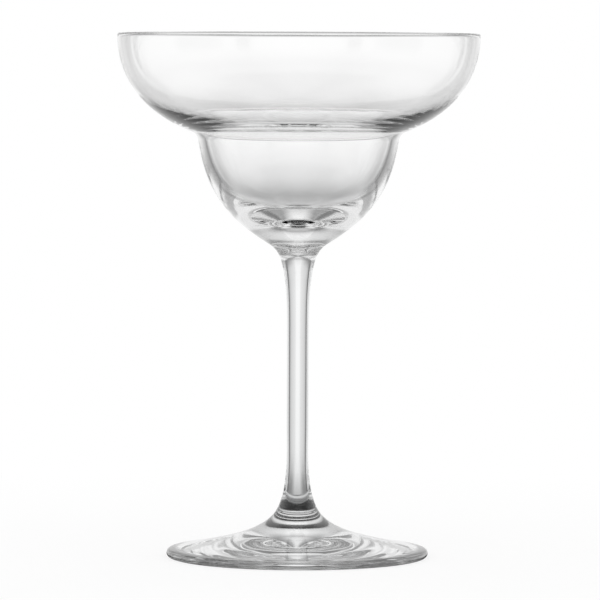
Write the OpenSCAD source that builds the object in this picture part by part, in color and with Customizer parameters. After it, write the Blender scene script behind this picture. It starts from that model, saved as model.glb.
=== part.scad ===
/* [Rim and saucer] */
// Outside diameter of the bowl where its wall stands upright, just below the rim
rim_d = 117.5; // [104:0.5:132]
// Thickness of the wall at the rim, whose edge is fully rounded
rim_wall = 1.6; // [1:0.1:2.4]
// Height of the wide saucer, from the outside corner of the step up to the rim
saucer_h = 32.55; // [26:0.05:42]
// Slope of the saucer's underside where it leaves the step, in degrees from level
ledge_slope = 21; // [14:1:30]
// How much flatter the inside of the saucer leaves the step, in degrees
saucer_taper = 5; // [0:1:6]

/* [Cup] */
// Outside diameter of the small lower cup at the corner of the step
cup_d = 65.6; // [54:0.2:78]
// Height of the cup and its solid base, from the stem up to the step
cup_h = 40.05; // [34:0.05:50]
// Lean of the cup's wall just below the step, in degrees from upright
cup_lean = 9.2; // [3:0.2:12]
// How much further the inside of the cup leans there, in degrees
cup_taper = 0.6; // [0:0.2:2]
// Thickness of the wall round the step and at the top of the cup
step_wall = 2.45; // [1.8:0.05:4]
// Radius of the outside corner under the step
step_fillet = 3.85; // [2:0.05:6]
// Solid glass between the top of the stem and the inside floor of the cup
base_t = 12.5; // [9:0.1:18]
// Outside diameter at the waist, where the cup's base turns down into its neck
waist_d = 18.8; // [16:0.1:24]
// Height of the neck, from the stem up to the waist
neck_h = 4.3; // [3:0.1:6]

/* [Stem] */
// Diameter of the straight part of the stem
stem_d = 7.2; // [6:0.1:10]
// Length of the stem between the bowl and the foot
stem_l = 82.4; // [62:0.1:110]
// Diameter where the stem is welded to the bowl
top_weld_d = 11.8; // [11:0.1:15]
// Length over which the stem widens towards the bowl
top_flare_l = 24; // [15:0.1:27]
// Diameter where the stem is welded to the foot
foot_weld_d = 13.9; // [11:0.1:17]
// Length over which the stem widens towards the foot
foot_flare_l = 28; // [18:0.1:32]

/* [Foot] */
// Outside diameter of the foot
foot_d = 84.9; // [72:0.1:100]
// Height of the foot from the table to its weld with the stem
foot_h = 15; // [12:0.1:20]
// Radius where the collar of the foot runs out into its plate
collar_r = 21.5; // [15:0.1:26]
// Height of the plate above the table where the collar runs out
collar_edge_h = 6.85; // [5.5:0.05:9]
// Thickness of the foot's rounded outer edge
foot_edge_t = 2.8; // [2:0.1:3.6]
// Width of the flat ring that the foot rests on
rest_ring_w = 2.4; // [2:0.1:5]
// Depth of the shallow hollow inside the resting ring
hollow_h = 1.9; // [0.6:0.1:2.6]

/* [Hidden] */

// Steps in each curved stretch of an outline, and in each of its small arcs
curve_steps = 18;
arc_steps = 8;
$fn = 144;

// Slopes of the outline in degrees from level: at the weld of stem and bowl, at the
// waist, at the weld of stem and foot, at the edge of the collar, at the foot's edge
// and at the edge of the hollow under it
top_weld_slope = 70;
waist_slope = 31.5;
foot_weld_slope = 59;
collar_slope = 15;
plate_slope = 9;
hollow_slope = 7.3;

// How far each curve holds to the directions of its start and end, as shares of its
// chord, each in the order in which its outline runs
neck_shares = [0.24, 0.4];
cup_shares = [0.455, 0.37];
saucer_shares = [0.45, 0.325];
saucer_inside_shares = [0.355, 0.45];
floor_shares = [0.41, 0.5];
foot_flare_shares = [0.3, 0.3];
top_flare_shares = [0.49, 0.23];
hollow_shares = [0.36, 0.27];
plate_shares = [0.33, 0.33];
collar_shares = [0.45, 0.24];

// Heights above the table of the two welds, the step and the rim
foot_weld_z = foot_h;
top_weld_z = foot_weld_z + stem_l;
step_z = top_weld_z + cup_h;
rim_z = step_z + saucer_h;

// Edges of the two round faces where the stem is welded to its neighbours
foot_weld = [foot_weld_d / 2, foot_weld_z];
top_weld = [top_weld_d / 2, top_weld_z];

// Unit vector in the plane of an outline, at an angle from level outwards
function unit(angle) = [cos(angle), sin(angle)];

// Smooth curve from a to b that starts along heading_a and ends along heading_b
function flow(a, heading_a, b, heading_b, shares) =
    let (chord = norm(b - a),
         a_hold = a + shares[0] * chord * unit(heading_a),
         b_hold = b - shares[1] * chord * unit(heading_b))
    [for (i = [0 : curve_steps])
        let (t = i / curve_steps, u = 1 - t)
        u * u * u * a + 3 * u * u * t * a_hold + 3 * u * t * t * b_hold + t * t * t * b];

// Arc round a centre, from one angle to another
function arc(centre, radius, from, to) =
    [for (i = [0 : arc_steps]) centre + radius * unit(from + (to - from) * i / arc_steps)];

// One outline out of stretches that each start where the one before ends
function chain(stretches) =
    concat([stretches[0][0]],
        [for (stretch = stretches) for (i = [1 : len(stretch) - 1]) stretch[i]]);

// One blown piece: wide saucer, rounded step, small cup, heavy base and neck.
// The step is one bend of the wall, so its outside corner and its inside shoulder are
// arcs round the same centre. The wall thins from there to the rim, because the inside
// leaves the shoulder at a flatter slope, and it thickens down to the heavy base.
module bowl() {
    step_turn = (90 + cup_lean + ledge_slope) / 2;
    step_centre = [cup_d / 2, step_z] + step_fillet / sin(step_turn) * unit(ledge_slope - step_turn);
    shoulder_r = step_fillet + step_wall;
    inside_slope = ledge_slope - saucer_taper;
    inside_lean = cup_lean + cup_taper;

    // Points on the two arcs, named for the sides where they meet the cup and the saucer
    corner_cup = step_centre + step_fillet * unit(180 - cup_lean);
    corner_saucer = step_centre + step_fillet * unit(90 + ledge_slope);
    shoulder_saucer = step_centre + shoulder_r * unit(90 + inside_slope);
    shoulder_cup = step_centre + shoulder_r * unit(180 - inside_lean);

    rim_round = rim_wall / 2;
    rim_centre = [rim_d / 2 - rim_round, rim_z - rim_round];
    waist = [waist_d / 2, top_weld_z + neck_h];
    inside_floor = [0, top_weld_z + base_t];

    color("gainsboro", 0.4)
        rotate_extrude()
            polygon(chain([
                [[0, top_weld_z], top_weld],
                flow(top_weld, top_weld_slope, waist, waist_slope, neck_shares),
                flow(waist, waist_slope, corner_cup, 90 - cup_lean, cup_shares),
                arc(step_centre, step_fillet, 180 - cup_lean, 90 + ledge_slope),
                flow(corner_saucer, ledge_slope, rim_centre + rim_round * unit(0), 90, saucer_shares),
                arc(rim_centre, rim_round, 0, 180),
                flow(rim_centre + rim_round * unit(180), -90,
                     shoulder_saucer, 180 + inside_slope, saucer_inside_shares),
                arc(step_centre, shoulder_r, 90 + inside_slope, 180 - inside_lean),
                flow(shoulder_cup, -90 - inside_lean, inside_floor, 180, floor_shares)]));
}

// Drawn solid rod that widens towards both welds
module stem() {
    rod_bottom = [stem_d / 2, foot_weld_z + foot_flare_l];
    rod_top = [stem_d / 2, top_weld_z - top_flare_l];

    color("lightgray", 0.4)
        rotate_extrude()
            polygon(chain([
                [[0, foot_weld_z], foot_weld],
                flow(foot_weld, 180 - foot_weld_slope, rod_bottom, 90, foot_flare_shares),
                [rod_bottom, rod_top],
                flow(rod_top, 90, top_weld, top_weld_slope, top_flare_shares),
                [top_weld, [0, top_weld_z]]]));
}

// Pressed disc with a collar that rises to the stem, hollowed a little underneath
module foot() {
    edge_round = foot_edge_t / 2;
    edge_centre = [foot_d / 2 - edge_round, edge_round];
    ring_outside = edge_centre - [0, edge_round];
    ring_inside = ring_outside - [rest_ring_w, 0];
    collar_edge = [collar_r, collar_edge_h];

    color("silver", 0.4)
        rotate_extrude()
            polygon(chain([
                flow([0, hollow_h], 0, ring_inside, -hollow_slope, hollow_shares),
                [ring_inside, ring_outside],
                arc(edge_centre, edge_round, -90, 90 - plate_slope),
                flow(edge_centre + edge_round * unit(90 - plate_slope), 180 - plate_slope,
                     collar_edge, 180 - collar_slope, plate_shares),
                flow(collar_edge, 180 - collar_slope, foot_weld, 180 - foot_weld_slope, collar_shares),
                [foot_weld, [0, foot_weld_z]]]));
}

bowl();
stem();
foot();
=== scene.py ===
import math

import bmesh
import bpy
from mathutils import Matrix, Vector, noise


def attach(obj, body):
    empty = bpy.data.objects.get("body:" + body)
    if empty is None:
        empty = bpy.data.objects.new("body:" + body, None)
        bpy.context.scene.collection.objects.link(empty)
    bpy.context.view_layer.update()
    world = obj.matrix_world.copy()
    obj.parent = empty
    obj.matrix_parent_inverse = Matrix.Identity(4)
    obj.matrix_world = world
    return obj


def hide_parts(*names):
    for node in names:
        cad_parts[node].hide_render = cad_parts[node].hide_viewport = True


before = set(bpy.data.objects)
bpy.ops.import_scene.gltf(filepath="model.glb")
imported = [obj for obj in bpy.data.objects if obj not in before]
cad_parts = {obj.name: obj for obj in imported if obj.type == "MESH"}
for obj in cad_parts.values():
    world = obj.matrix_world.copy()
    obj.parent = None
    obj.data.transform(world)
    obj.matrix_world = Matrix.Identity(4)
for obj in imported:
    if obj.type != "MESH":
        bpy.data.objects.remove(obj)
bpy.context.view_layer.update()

# The bowl is one blown piece of clear crystal: a wide saucer over a small cup, joined
# by a rounded step, with a heavy base and a short neck. Its wall thins towards the
# rim, which is melted round, and the neck is welded hot to the top of the stem.
mm = 0.001
rim_r = 58.75 * mm
rim_z = 170 * mm
rim_wall = 1.6 * mm
step_corner = Vector((32.8, 0, 137.45)) * mm
ledge_slope = 21
cup_lean = 9.2
step_fillet = 3.85 * mm
step_wall = 2.45 * mm
inside_slope = 16
inside_lean = 9.8
waist = Vector((9.4, 0, 101.7)) * mm
waist_slope = 31.5
top_weld = Vector((5.9, 0, 97.4)) * mm
top_weld_slope = 70
inside_floor = Vector((0, 0, 109.9)) * mm


def unit(angle):
    return Vector((math.cos(math.radians(angle)), 0, math.sin(math.radians(angle))))


def flow(a, heading_a, b, heading_b, holds, steps=40):
    """Points of a smooth curve from a to b that starts and ends along two headings."""
    chord = (b - a).length
    a_hold = a + unit(heading_a) * chord * holds[0]
    b_hold = b - unit(heading_b) * chord * holds[1]
    points = []
    for step in range(steps + 1):
        t = step / steps
        u = 1 - t
        points.append(u**3 * a + 3 * u * u * t * a_hold + 3 * u * t * t * b_hold + t**3 * b)
    return points


def arc(centre, radius, start, end, steps=16):
    return [centre + unit(start + (end - start) * step / steps) * radius for step in range(steps + 1)]


def turned(name, stretches, weld_heights, spin_steps=256):
    """A closed glass solid of revolution, with its welded faces in the second material slot."""
    weld_tolerance = 0.001 * mm
    bm = bmesh.new()
    outline = [stretches[0][0]] + [point for stretch in stretches for point in stretch[1:]]
    verts = [bm.verts.new(point) for point in outline]
    edges = [bm.edges.new(pair) for pair in zip(verts, verts[1:])]
    bmesh.ops.spin(
        bm, geom=verts + edges, cent=(0, 0, 0), axis=(0, 0, 1), dvec=(0, 0, 0),
        angle=math.tau, steps=spin_steps, use_merge=True, use_duplicate=False)
    bmesh.ops.remove_doubles(bm, verts=bm.verts, dist=0.0002 * mm)
    bmesh.ops.recalc_face_normals(bm, faces=bm.faces)
    for face in bm.faces:
        face.smooth = True
        for weld_z in weld_heights:
            if all(abs(vert.co.z - weld_z) < weld_tolerance for vert in face.verts):
                face.material_index = 1
    for edge in bm.edges:
        edge.smooth = len({face.material_index for face in edge.link_faces}) == 1
    mesh = bpy.data.meshes.new(name)
    bm.to_mesh(mesh)
    bm.free()
    piece = bpy.data.objects.new(name, mesh)
    bpy.context.collection.objects.link(piece)
    return piece


def crystal(name, low, low_tint, high, high_tint, ripple_depth):
    """Clear glass with a tint that changes between two heights, and the ripple of fire polishing."""
    material = bpy.data.materials.new(name)
    material.use_nodes = True
    nodes = material.node_tree.nodes
    links = material.node_tree.links
    shader = nodes["Principled BSDF"]
    shader.inputs["Roughness"].default_value = 0.0
    shader.inputs["IOR"].default_value = 1.52
    shader.inputs["Transmission Weight"].default_value = 1
    coordinates = nodes.new("ShaderNodeTexCoord")
    split = nodes.new("ShaderNodeSeparateXYZ")
    rise = nodes.new("ShaderNodeMapRange")
    rise.inputs["From Min"].default_value = low
    rise.inputs["From Max"].default_value = high
    tint = nodes.new("ShaderNodeValToRGB")
    tint.color_ramp.elements[0].color = (*low_tint, 1)
    tint.color_ramp.elements[1].color = (*high_tint, 1)
    links.new(coordinates.outputs["Object"], split.inputs["Vector"])
    links.new(split.outputs["Z"], rise.inputs["Value"])
    links.new(rise.outputs["Result"], tint.inputs["Fac"])
    links.new(tint.outputs["Color"], shader.inputs["Base Color"])
    ripple = nodes.new("ShaderNodeTexNoise")
    ripple.inputs["Scale"].default_value = 60
    ripple.inputs["Detail"].default_value = 1.5
    bump = nodes.new("ShaderNodeBump")
    bump.inputs["Strength"].default_value = 1
    bump.inputs["Distance"].default_value = ripple_depth
    links.new(coordinates.outputs["Object"], ripple.inputs["Vector"])
    links.new(ripple.outputs["Fac"], bump.inputs["Height"])
    links.new(bump.outputs["Normal"], shader.inputs["Normal"])
    return material


# Where two pieces are melted into each other, light passes with no bend
melted = bpy.data.materials.new("melted_weld")
melted.use_nodes = True
melted.node_tree.nodes.remove(melted.node_tree.nodes["Principled BSDF"])
melted_shader = melted.node_tree.nodes.new("ShaderNodeBsdfTransparent")
melted.node_tree.links.new(
    melted_shader.outputs["BSDF"], melted.node_tree.nodes["Material Output"].inputs["Surface"])

step_turn = (90 + cup_lean + ledge_slope) / 2
step_centre = step_corner + unit(ledge_slope - step_turn) * (step_fillet / math.sin(math.radians(step_turn)))
shoulder_r = step_fillet + step_wall
ledge_side = 90 + ledge_slope
cup_side = 180 - cup_lean
rim_round = rim_wall / 2
rim_centre = Vector((rim_r - rim_round, 0, rim_z - rim_round))

bowl = turned("bowl_glass", [
    [Vector((0, 0, top_weld.z)), top_weld],
    flow(top_weld, top_weld_slope, waist, waist_slope, (0.24, 0.4), 20),
    flow(waist, waist_slope, step_centre + unit(cup_side) * step_fillet, 90 - cup_lean, (0.455, 0.37)),
    arc(step_centre, step_fillet, cup_side, ledge_side),
    flow(step_centre + unit(ledge_side) * step_fillet, ledge_slope,
         rim_centre + unit(0) * rim_round, 90, (0.45, 0.325)),
    arc(rim_centre, rim_round, 0, 180),
    flow(rim_centre + unit(180) * rim_round, -90,
         step_centre + unit(90 + inside_slope) * shoulder_r, 180 + inside_slope, (0.355, 0.45)),
    arc(step_centre, shoulder_r, 90 + inside_slope, 180 - inside_lean),
    flow(step_centre + unit(180 - inside_lean) * shoulder_r, -90 - inside_lean,
         inside_floor, 180, (0.41, 0.5)),
], [top_weld.z])

# Blowing leaves the saucer's lower wall faintly wavy, in slow swells and finer streaks
wavy_inner_r = 30 * mm
wavy_bottom = 138 * mm
wavy_top = 154 * mm
swell_h = 0.05 * mm
streak_h = 0.012 * mm
for vert in bowl.data.vertices:
    if math.hypot(vert.co.x, vert.co.y) > wavy_inner_r and wavy_bottom < vert.co.z < wavy_top:
        fade = math.sin(math.pi * (vert.co.z - wavy_bottom) / (wavy_top - wavy_bottom))
        wave = swell_h * noise.noise(vert.co * 40) + streak_h * noise.noise(vert.co * 330)
        vert.co.z += fade * wave
bowl.data.materials.append(crystal(
    "blown_crystal", 112 * mm, (0.945, 0.947, 0.948), 140 * mm, (1, 1, 1), 0.002 * mm))
bowl.data.materials.append(melted)
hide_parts("bowl")
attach(bowl, "root")

# The stem is a solid rod of the same crystal, drawn out while soft, so that it is
# slender in the middle and widens smoothly towards the weld at each end.
rod_r = 3.6 * mm
rod_top = Vector((rod_r, 0, 73.4 * mm))
rod_bottom = Vector((rod_r, 0, 43 * mm))
foot_weld = Vector((6.95, 0, 15)) * mm
foot_weld_slope = 59

stem = turned("stem_glass", [
    [Vector((0, 0, foot_weld.z)), foot_weld],
    flow(foot_weld, 180 - foot_weld_slope, rod_bottom, 90, (0.3, 0.3)),
    [rod_bottom, rod_top],
    flow(rod_top, 90, top_weld, top_weld_slope, (0.49, 0.23)),
    [top_weld, Vector((0, 0, top_weld.z))],
], [foot_weld.z, top_weld.z], 128)
stem.data.materials.append(crystal(
    "drawn_crystal", 20 * mm, (0.9, 0.907, 0.909), 60 * mm, (0.955, 0.959, 0.961), 0.002 * mm))
stem.data.materials.append(melted)
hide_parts("stem")
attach(stem, "root")

# The foot is a gather of crystal pressed and spun out into a disc. Its collar rises to
# the stem, its plate thins towards a rounded edge, it is slightly hollow underneath,
# and shaping it by hand has left its faces faintly wavy.
foot_r = 42.45 * mm
foot_edge_t = 2.8 * mm
plate_slope = 9
collar_edge = Vector((21.5, 0, 6.85)) * mm
collar_slope = 15
hollow_h = 1.9 * mm
hollow_slope = 7.3
rest_ring_w = 2.4 * mm

edge_round = foot_edge_t / 2
edge_centre = Vector((foot_r - edge_round, 0, edge_round))
ring_outside = edge_centre - Vector((0, 0, edge_round))
ring_inside = ring_outside - Vector((rest_ring_w, 0, 0))
foot = turned("foot_glass", [
    flow(Vector((0, 0, hollow_h)), 0, ring_inside, -hollow_slope, (0.36, 0.27)),
    [ring_inside, ring_outside],
    arc(edge_centre, edge_round, -90, 90 - plate_slope),
    flow(edge_centre + unit(90 - plate_slope) * edge_round, 180 - plate_slope,
         collar_edge, 180 - collar_slope, (0.33, 0.33)),
    flow(collar_edge, 180 - collar_slope, foot_weld, 180 - foot_weld_slope, (0.45, 0.24)),
    [foot_weld, Vector((0, 0, foot_weld.z))],
], [foot_weld.z])

# The plate's waves are deeper on its upper face than on the hollow face under it
wavy_start = 16 * mm
wavy_end = 38 * mm
underside_top = 2.1 * mm
upper_wave_h = 0.07 * mm
under_wave_h = 0.04 * mm
for vert in foot.data.vertices:
    out = math.hypot(vert.co.x, vert.co.y)
    if wavy_start < out < wavy_end:
        fade = math.sin(math.pi * (out - wavy_start) / (wavy_end - wavy_start)) ** 0.5
        wave_h = upper_wave_h if vert.co.z > underside_top else under_wave_h
        vert.co.z += wave_h * fade * noise.noise(vert.co * 110)
foot.data.materials.append(crystal(
    "pressed_crystal", 3 * mm, (0.98, 0.983, 0.984), 14 * mm, (0.95, 0.954, 0.956), 0.004 * mm))
foot.data.materials.append(melted)
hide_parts("foot")
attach(foot, "root")

# The glass stands on a plain pale table top, which runs out into a white background
# and keeps the soft shadow that the glass throws round its foot. Seen through the foot,
# the table close under it shows painted shade: a dark glow, darkest in the middle and
# under the edge, that glossy and refracted rays see in place of the lit paint.
table_r = 450 * mm
background_r = 300 * mm
near_r = 50 * mm


def value_node(tree, operation, *values):
    """The result of a Math node, whose inputs are numbers or other nodes' results."""
    node = tree.nodes.new("ShaderNodeMath")
    node.operation = operation
    for socket, value in zip(node.inputs, values):
        if isinstance(value, (int, float)):
            socket.default_value = value
        else:
            tree.links.new(value, socket)
    return node.outputs["Value"]


def mix_values(tree, amount, low, high):
    """low where amount is 0 and high where it is 1."""
    return value_node(
        tree, "ADD",
        value_node(tree, "MULTIPLY", low, value_node(tree, "SUBTRACT", 1.0, amount)),
        value_node(tree, "MULTIPLY", high, amount))


def graded(tree, value, start, end, levels):
    """Brightness that follows a value through (value, level) marks."""
    ramp = tree.nodes.new("ShaderNodeValToRGB")
    spread = tree.nodes.new("ShaderNodeMapRange")
    spread.inputs["From Min"].default_value = start
    spread.inputs["From Max"].default_value = end
    tree.links.new(value, spread.inputs["Value"])
    tree.links.new(spread.outputs["Result"], ramp.inputs["Fac"])
    marks = ramp.color_ramp.elements
    marks.remove(marks[1])
    marks[0].position = (levels[0][0] - start) / (end - start)
    marks[0].color = (levels[0][1],) * 3 + (1,)
    for at, level in levels[1:]:
        marks.new((at - start) / (end - start)).color = (level, level, level, 1)
    bright = tree.nodes.new("ShaderNodeRGBToBW")
    tree.links.new(ramp.outputs["Color"], bright.inputs["Color"])
    return bright.outputs["Val"]


table_mesh = bpy.data.meshes.new("table_top")
bm = bmesh.new()
bmesh.ops.create_circle(bm, cap_ends=True, segments=128, radius=table_r)
bm.to_mesh(table_mesh)
bm.free()
table = bpy.data.objects.new("table_top", table_mesh)
bpy.context.collection.objects.link(table)

table_paint = bpy.data.materials.new("pale_table")
table_paint.use_nodes = True
tree = table_paint.node_tree
paint = tree.nodes["Principled BSDF"]
paint.inputs["Base Color"].default_value = (0.93, 0.93, 0.93, 1)
paint.inputs["Roughness"].default_value = 0.9
paint.inputs["Specular IOR Level"].default_value = 0
rays = tree.nodes.new("ShaderNodeLightPath")
from_middle = tree.nodes.new("ShaderNodeVectorMath")
from_middle.operation = "LENGTH"
tree.links.new(tree.nodes.new("ShaderNodeTexCoord").outputs["Object"], from_middle.inputs[0])
run_out = graded(tree, from_middle.outputs["Value"], 0, table_r, [(near_r, 0.75), (background_r, 1)])
white = tree.nodes.new("ShaderNodeEmission")
seen = tree.nodes.new("ShaderNodeMixShader")
tree.links.new(value_node(tree, "MULTIPLY", rays.outputs["Is Camera Ray"], run_out), seen.inputs["Fac"])
tree.links.new(paint.outputs["BSDF"], seen.inputs[1])
tree.links.new(white.outputs["Emission"], seen.inputs[2])
# Painted shade under the foot: a dark emission that glossy and refracted rays see within 45 mm of the
# middle, which fades to a see-through surface onto the studio by 50 mm
painted_foot_shade = tree.nodes.new("ShaderNodeEmission")
shade = graded(tree, from_middle.outputs["Value"], 0, near_r, [
    (0, 0.02), (20 * mm, 0.02), (28 * mm, 0.08), (31 * mm, 0.3), (34 * mm, 0.6), (38 * mm, 0.6),
    (39.5 * mm, 0.04), (45 * mm, 0.05), (near_r, 0.4)])
tree.links.new(shade, painted_foot_shade.inputs["Strength"])
through_glass = tree.nodes.new("ShaderNodeMixShader")
under_plate = graded(tree, from_middle.outputs["Value"], 0, near_r, [(45 * mm, 1), (near_r, 0)])
tree.links.new(under_plate, through_glass.inputs["Fac"])
tree.links.new(tree.nodes.new("ShaderNodeBsdfTransparent").outputs["BSDF"], through_glass.inputs[1])
tree.links.new(painted_foot_shade.outputs["Emission"], through_glass.inputs[2])
table_surface = tree.nodes.new("ShaderNodeMixShader")
tree.links.new(
    value_node(tree, "MAXIMUM", rays.outputs["Is Glossy Ray"], rays.outputs["Is Transmission Ray"]),
    table_surface.inputs["Fac"])
tree.links.new(seen.outputs["Shader"], table_surface.inputs[1])
tree.links.new(through_glass.outputs["Shader"], table_surface.inputs[2])
tree.links.new(table_surface.outputs["Shader"], tree.nodes["Material Output"].inputs["Surface"])
table.data.materials.append(table_paint)

# Soft studio light comes evenly from all round. What the glass picks up of the studio
# is a white sweep with panels round it and dark gaps between them, alike on the left
# and the right, and dimmer low down and high overhead.
world = bpy.data.worlds.new("studio")
bpy.context.scene.world = world
world.use_nodes = True
tree = world.node_tree
light = tree.nodes["Background"]
light.inputs["Strength"].default_value = 1
direction = tree.nodes.new("ShaderNodeTexCoord").outputs["Generated"]
split = tree.nodes.new("ShaderNodeSeparateXYZ")
tree.links.new(direction, split.inputs["Vector"])

# Degrees above level, and degrees round from behind the glass to the camera's side
height = value_node(tree, "DEGREES", value_node(tree, "ARCSINE", split.outputs["Z"]))
bearing = value_node(
    tree, "DEGREES",
    value_node(tree, "ARCTAN2", value_node(tree, "ABSOLUTE", split.outputs["X"]), split.outputs["Y"]))


def by_height(levels):
    return graded(tree, height, -90, 90, levels)


def by_bearing(levels):
    return graded(tree, bearing, 0, 180, levels)


# Bright panels and dark gaps: near level, in the sweep below and in the ceiling
panels = by_bearing([
    (0, 1), (6, 0.98), (9, 0.84), (14, 0.78), (20, 0.72), (26, 0.64), (30, 0.52), (33, 0.45), (34, 0.18),
    (42.8, 0.18), (43.2, 0.95), (46.8, 0.95), (47.4, 0.45), (54, 0.62), (58, 0.9), (70, 0.94), (80, 0.94),
    (88, 0.95), (92, 0.95), (94, 0.5), (118, 0.4), (127, 0.6), (131, 0.9), (138, 0.8), (139, 0.1),
    (147, 0.1), (148, 0.6), (152, 0.9), (170, 1)])
floor_gaps = by_bearing([
    (0, 1), (8, 1), (12, 0.78), (16, 0.6), (20, 0.45), (33, 0.42), (34, 0.25), (42.8, 0.25), (43.4, 0.95),
    (47, 0.95), (49, 0.4), (56, 0.5), (60, 0.95)])
ceiling_gaps = by_bearing([
    (0, 1), (7, 1), (13, 0.75), (17, 0.6), (21, 0.5), (30, 0.36), (35, 0.28), (42, 0.28), (46, 0.6),
    (54, 0.9), (60, 1), (120, 1), (134, 0.5), (145, 0.3), (155, 0.6), (170, 1)])

# The sweep dims downwards into a dark band and is bright again straight below, and
# the ceiling has a dim band round it
sweep = by_height([
    (-80, 0.8), (-73, 0.6), (-68, 0.04), (-60, 0.04), (-54, 0.3), (-48, 0.56), (-40, 0.6), (-33, 0.56),
    (-28, 0.51), (-24, 0.52), (-21, 0.56), (-18, 0.63), (-15, 0.71), (-12, 0.79), (-9, 0.89), (-5, 0.97),
    (-2, 1)])
ceiling = by_height([
    (14, 1), (18, 0.9), (23, 0.78), (28, 0.58), (35, 0.8), (42, 0.85), (60, 0.8), (85, 0.6)])

# Side light keeps the sweep bright round its dim middle. Low down the sweep has no
# gaps, and it is dark on the camera's side.
side_light = value_node(
    tree, "MAXIMUM",
    value_node(tree, "MULTIPLY", by_bearing([(39, 0), (43, 1)]), by_height([(-46, 0), (-36, 1)])),
    value_node(
        tree, "MULTIPLY", by_bearing([(20, 0), (25, 1), (38, 1), (42, 0)]),
        by_height([(-60, 0), (-54, 0.8), (-28, 0.8), (-24, 0)])))
sweep_gaps = mix_values(tree, by_height([(-40, 1), (-32, 0)]), floor_gaps, 1.0)
gaps = mix_values(tree, by_height([(-14, 0), (-5, 1)]), sweep_gaps, panels)
camera_side = mix_values(tree, by_height([(-44, 1), (-36, 0)]), 1.0, by_bearing([(110, 1), (125, 0.1)]))
below = value_node(tree, "MULTIPLY", gaps, mix_values(tree, side_light, sweep, 1.0))
below = value_node(tree, "MULTIPLY", below, camera_side)
seen_studio = value_node(
    tree, "MULTIPLY", ceiling, mix_values(tree, by_height([(12, 0), (22, 1)]), below, ceiling_gaps))

# What the outside of the glass mirrors, behind it and on the camera's side
behind = by_height([(-60, 0.2), (-30, 0.5), (-12, 0.92), (20, 0.95), (50, 0.85), (60, 0.2), (85, 0.1)])
facing = by_height([(-60, 0.2), (-30, 0.5), (-12, 0.92), (20, 0.95), (30, 0.3), (45, 0.1)])
surroundings = mix_values(tree, by_bearing([(85, 0), (115, 1)]), behind, facing)
rays = tree.nodes.new("ShaderNodeLightPath")
mirrored = mix_values(tree, rays.outputs["Is Glossy Ray"], 1.0, surroundings)
refracted = mix_values(tree, rays.outputs["Is Transmission Ray"], mirrored, seen_studio)
tree.links.new(refracted, light.inputs["Color"])

# The camera stands a little above the rim's height, well back, and looks slightly down
camera_height = 184 * mm
camera_distance = 1705 * mm
aim = Vector((0.65, 0, 83.56)) * mm
roll = 0.216
sensor_w = 36
picture_px = 600
focal_px = 5267
camera_data = bpy.data.cameras.new("camera")
camera_data.sensor_width = sensor_w
camera_data.lens = sensor_w * focal_px / picture_px
camera_data.clip_start = 0.05
camera_data.clip_end = 50
camera = bpy.data.objects.new("camera", camera_data)
bpy.context.collection.objects.link(camera)
camera.location = (aim.x, -camera_distance, camera_height)
camera.rotation_euler = (aim - camera.location).to_track_quat("-Z", "Y").to_euler()
camera.rotation_euler.rotate_axis("Z", math.radians(roll))
bpy.context.scene.camera = camera

# Light has to pass through the glass many times where it is led along inside a wall
passes = 26
scene = bpy.context.scene
scene.view_settings.view_transform = "Standard"
scene.cycles.max_bounces = passes
scene.cycles.transmission_bounces = passes
scene.cycles.glossy_bounces = passes
scene.cycles.transparent_max_bounces = 32
scene.cycles.blur_glossy = 0
